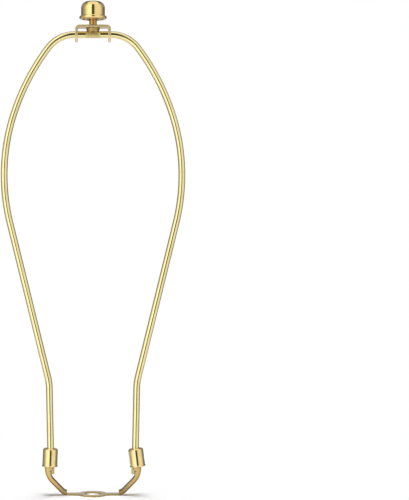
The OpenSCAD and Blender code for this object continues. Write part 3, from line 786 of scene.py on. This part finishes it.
def finial_insert():
    """Turned hub with a flange and a blind threaded hole."""
    hub_top = BORE_TOP + HUB_END
    flange_z = RIM_FOOT + CAP_T + 0.05
    bore, flange = THREAD_R + CLEARANCE, CAP_R - CAP_T - 0.05
    corners = [(0, BORE_TOP), (bore, BORE_TOP), (bore, HUB_FOOT), (HUB_R, HUB_FOOT), (HUB_R, flange_z),
               (flange, flange_z), (flange, flange_z + FLANGE_T), (HUB_R, flange_z + FLANGE_T),
               (HUB_R, hub_top), (0, hub_top)]
    radii = [0, 0, 0.25, 0.25, 0.1, 0.1, 0.1, 0.1, 0.3, 0]
    hub = object_of(lathe(rounded(corners, radii, 4), closed=False).mesh("turned_hub"))
    return finish(hub, HUB_BRASS, "finial_hub", ["finial_insert"])


harp_bow()
saddle()
ferrule("left")
ferrule("right")
swivel_bracket()
threaded_stud()
finial_cap()
finial_insert()


# The room, the light and the camera

def surround(name, stops, low, high, radius):
    """A curved studio wall that only reflections see; stops are (azimuth, brightness), 0 at the camera."""
    first, last = stops[0][0], stops[-1][0]
    steps = 90
    rows = []
    for z in (low, high):
        angles = [math.radians(first + (last - first) * k / steps) for k in range(steps + 1)]
        rows.append([(radius * math.sin(a), -radius * math.cos(a), z) for a in angles])
    piece = object_of(Shell().skin(rows, ends=False, round_loop=False).mesh(name))
    material = bpy.data.materials.new(name)
    material.use_nodes = True
    tree = material.node_tree
    tree.nodes.clear()
    place = add(tree, "ShaderNodeTexCoord")
    split = add(tree, "ShaderNodeSeparateXYZ", links={"Vector": place.outputs["UV"]})
    arc = radius * math.radians(last - first)
    share = add(tree, "ShaderNodeMath", {1: arc}, {0: split.outputs["X"]}, operation="DIVIDE")
    ramp = add(tree, "ShaderNodeValToRGB", links={"Fac": share.outputs[0]})
    brightest = max(strength for _, strength in stops)
    bar = ramp.color_ramp.elements
    for k, (azimuth, strength) in enumerate(stops):
        at = (azimuth - first) / (last - first)
        element = bar[k] if k < 2 else bar.new(at)
        element.position = at
        element.color = [strength / brightest] * 3 + [1]
    glow = add(tree, "ShaderNodeEmission", {"Strength": brightest}, {"Color": ramp.outputs["Color"]})
    add(tree, "ShaderNodeOutputMaterial", links={"Surface": glow.outputs["Emission"]})
    piece.data.materials.append(material)
    piece.visible_camera = piece.visible_diffuse = piece.visible_shadow = False
    return piece


def sheet(name, half, z, material):
    """A level square, its face up."""
    rows = [[(-half, y, z), (half, y, z)] for y in (-half, half)]
    piece = object_of(Shell().skin(rows, ends=False, round_loop=False).mesh(name))
    if piece.data.polygons[0].normal.z < 0:
        piece.data.flip_normals()
    piece.data.materials.append(material)
    return piece


def floor():
    """Pale floor that takes the shadow near the harp and goes white further off."""
    material = bpy.data.materials.new("pale studio floor")
    material.use_nodes = True
    tree = material.node_tree
    tree.nodes.clear()
    matt = add(tree, "ShaderNodeBsdfDiffuse", {"Color": hex_linear("F7F7F8")})
    place = add(tree, "ShaderNodeTexCoord")
    away = add(tree, "ShaderNodeVectorMath", links={0: place.outputs["Object"]}, operation="LENGTH")
    fade = add(tree, "ShaderNodeMapRange", {"From Min": 0.07, "From Max": 0.3},
               {"Value": away.outputs["Value"]}, interpolation_type="SMOOTHSTEP")
    ray = add(tree, "ShaderNodeLightPath")
    share = add(tree, "ShaderNodeMath", links={0: fade.outputs["Result"], 1: ray.outputs["Is Camera Ray"]},
                operation="MULTIPLY")
    white = add(tree, "ShaderNodeEmission", {"Color": hex_linear("FFFFFF"), "Strength": 1.0})
    both = add(tree, "ShaderNodeMixShader",
               links={0: share.outputs[0], 1: matt.outputs["BSDF"], 2: white.outputs["Emission"]})
    add(tree, "ShaderNodeOutputMaterial", links={"Surface": both.outputs["Shader"]})
    piece = sheet("studio_floor", 6000, -0.02, material)
    piece.visible_glossy = False


SHADE_X, SHADE_Y = 48.0, 22.0


def under_card():
    """What the undersides of the polished metal see: a dimmer white than the walls."""
    material = bpy.data.materials.new("dim white card")
    material.use_nodes = True
    tree = material.node_tree
    tree.nodes.clear()
    glow = add(tree, "ShaderNodeEmission", {"Color": hex_linear("FFFFFF"), "Strength": 0.85})
    add(tree, "ShaderNodeOutputMaterial", links={"Surface": glow.outputs["Emission"]})
    piece = sheet("under_card", 1300, -1150, material)
    piece.visible_camera = piece.visible_diffuse = piece.visible_shadow = False


def floor_shade():
    """Painted shadow: a dark disc under the harp that only reflections see, the harp's shadow on the floor as the
    metal close over it sees it; from higher up it is white.
    """
    material = bpy.data.materials.new("shaded floor")
    material.use_nodes = True
    tree = material.node_tree
    tree.nodes.clear()
    ray = add(tree, "ShaderNodeLightPath")
    near = add(tree, "ShaderNodeMapRange", {"From Min": 0.02, "From Max": 0.06, "To Min": 0.3, "To Max": 0.8},
               {"Value": ray.outputs["Ray Length"]})
    glow = add(tree, "ShaderNodeEmission", {"Color": hex_linear("FFFFFF")}, {"Strength": near.outputs["Result"]})
    add(tree, "ShaderNodeOutputMaterial", links={"Surface": glow.outputs["Emission"]})
    rim = [(SHADE_X * math.cos(a), SHADE_Y * math.sin(a)) for a in (math.tau * k / 64 for k in range(64))]
    rings = [[(x, y, -0.03) for x, y in rim], [(x * 0.01, y * 0.01, -0.03) for x, y in rim]]
    piece = object_of(Shell().skin(rings, ends=False).mesh("floor_shade"))
    piece.data.materials.append(material)
    piece.visible_camera = piece.visible_diffuse = piece.visible_shadow = False


def world():
    """White behind everything, for the eye, for reflections and through glass; softer light on the floor."""
    made = bpy.data.worlds.new("studio")
    bpy.context.scene.world = made
    made.use_nodes = True
    tree = made.node_tree
    tree.nodes.clear()
    ray = add(tree, "ShaderNodeLightPath")
    seen = add(tree, "ShaderNodeMath", links={0: ray.outputs["Is Camera Ray"], 1: ray.outputs["Is Glossy Ray"]},
               operation="MAXIMUM")
    seen = add(tree, "ShaderNodeMath", links={0: seen.outputs[0], 1: ray.outputs["Is Transmission Ray"]},
               operation="MAXIMUM")
    light = add(tree, "ShaderNodeBackground", {"Color": hex_linear("FFFFFF"), "Strength": 0.16})
    white = add(tree, "ShaderNodeBackground", {"Color": hex_linear("FFFFFF"), "Strength": 1.0})
    both = add(tree, "ShaderNodeMixShader",
               links={0: seen.outputs[0], 1: light.outputs["Background"], 2: white.outputs["Background"]})
    add(tree, "ShaderNodeOutputWorld", links={"Surface": both.outputs["Shader"]})


def lamp(name, azimuth, height, distance, size, power, target=(0, 0, 150)):
    data = bpy.data.lights.new(name, "AREA")
    data.shape, data.size, data.size_y, data.energy = "RECTANGLE", size[0] * MM, size[1] * MM, power
    made = bpy.data.objects.new(name, data)
    bpy.context.scene.collection.objects.link(made)
    a = math.radians(azimuth)
    place = Vector((distance * math.sin(a), -distance * math.cos(a), height))
    made.location = place * MM
    made.rotation_mode = "QUATERNION"
    made.rotation_quaternion = (place - Vector(target)).to_track_quat("Z", "Y")
    made.visible_glossy = False
    return made


def camera():
    """Level with the upper middle of the harp and one metre off, as the photograph was taken."""
    distance, height, scale = 1000.0, 178.0, 1.54
    data = bpy.data.cameras.new("camera")
    data.sensor_width = 36.0
    data.lens = scale * distance * 36.0 / 500
    data.shift_x = (204.5 - 93.0) / 500
    data.shift_y = (494.8 - height * scale - 250.0) / 500
    data.clip_start, data.clip_end = 0.05, 20.0
    made = bpy.data.objects.new("camera", data)
    bpy.context.scene.collection.objects.link(made)
    made.location = (0, -distance * MM, height * MM)
    made.rotation_euler = (math.radians(90), 0, 0)
    bpy.context.scene.camera = made


world()
floor()
under_card()
floor_shade()
LEFT_FRONT = [(-80, 0.6), (-66, 1.0), (-42, 1.4), (-22, 1.4)]
RIGHT_FRONT = [(42, 0.95), (60, 0.95), (80, 0.85), (92, 0.55)]
LEFT_BACK = [(-180, 0.5), (-166, 0.5), (-158, 0.12), (-130, 0.16), (-118, 0.26), (-104, 0.38)]
RIGHT_BACK = [(104, 0.34), (120, 0.2), (132, 0.13), (158, 0.12), (166, 0.5), (180, 0.5)]
HIGH_STRIP = [(-16, 1.2), (-12, 0.7), (-9, 0.06), (6, 0.05), (10, 0.2), (15, 0.6), (26, 0.95)]
MIDDLE_STRIP = [(-13, 1.2), (-9, 0.8), (-5, 0.05), (12, 0.04), (16, 0.2), (21, 0.6), (32, 0.95)]
surround("upper_walls", [(-180, 0.1), (-160, 0.12), (-145, 0.34), (-110, 0.34)] + LEFT_FRONT + HIGH_STRIP
         + RIGHT_FRONT + [(110, 0.34), (145, 0.34), (160, 0.12), (180, 0.1)], 620, 2200, 1500)
surround("high_walls", LEFT_BACK + LEFT_FRONT + HIGH_STRIP + RIGHT_FRONT + RIGHT_BACK, 150, 620, 1500)
surround("middle_walls", LEFT_BACK + LEFT_FRONT + MIDDLE_STRIP + RIGHT_FRONT + RIGHT_BACK, -290, 150, 1500)
surround("low_walls",
         [(-180, 0.8), (-130, 0.55), (-104, 0.5), (-66, 1.0), (-40, 1.3), (-10, 1.2), (14, 1.1), (40, 1.1),
          (80, 0.9), (104, 0.5), (130, 0.55), (180, 0.8)],
         -1150, -290, 1500)
surround("card_behind", [(168, 0.5), (192, 0.5)], -100, 700, 1480)
surround("dark_room_behind", [(100, 0.4), (125, 0.15), (235, 0.15), (260, 0.4)], 1600, 2900, 1490)
lamp("top softbox", 180, 1200, 100, (700, 800), 14.0, (0, 0, 0))
lamp("left softbox", -50, 900, 1400, (900, 900), 3.0)
lamp("right softbox", 58, 900, 1400, (900, 900), 3.0)
camera()

bpy.context.scene.view_settings.view_transform = "Standard"
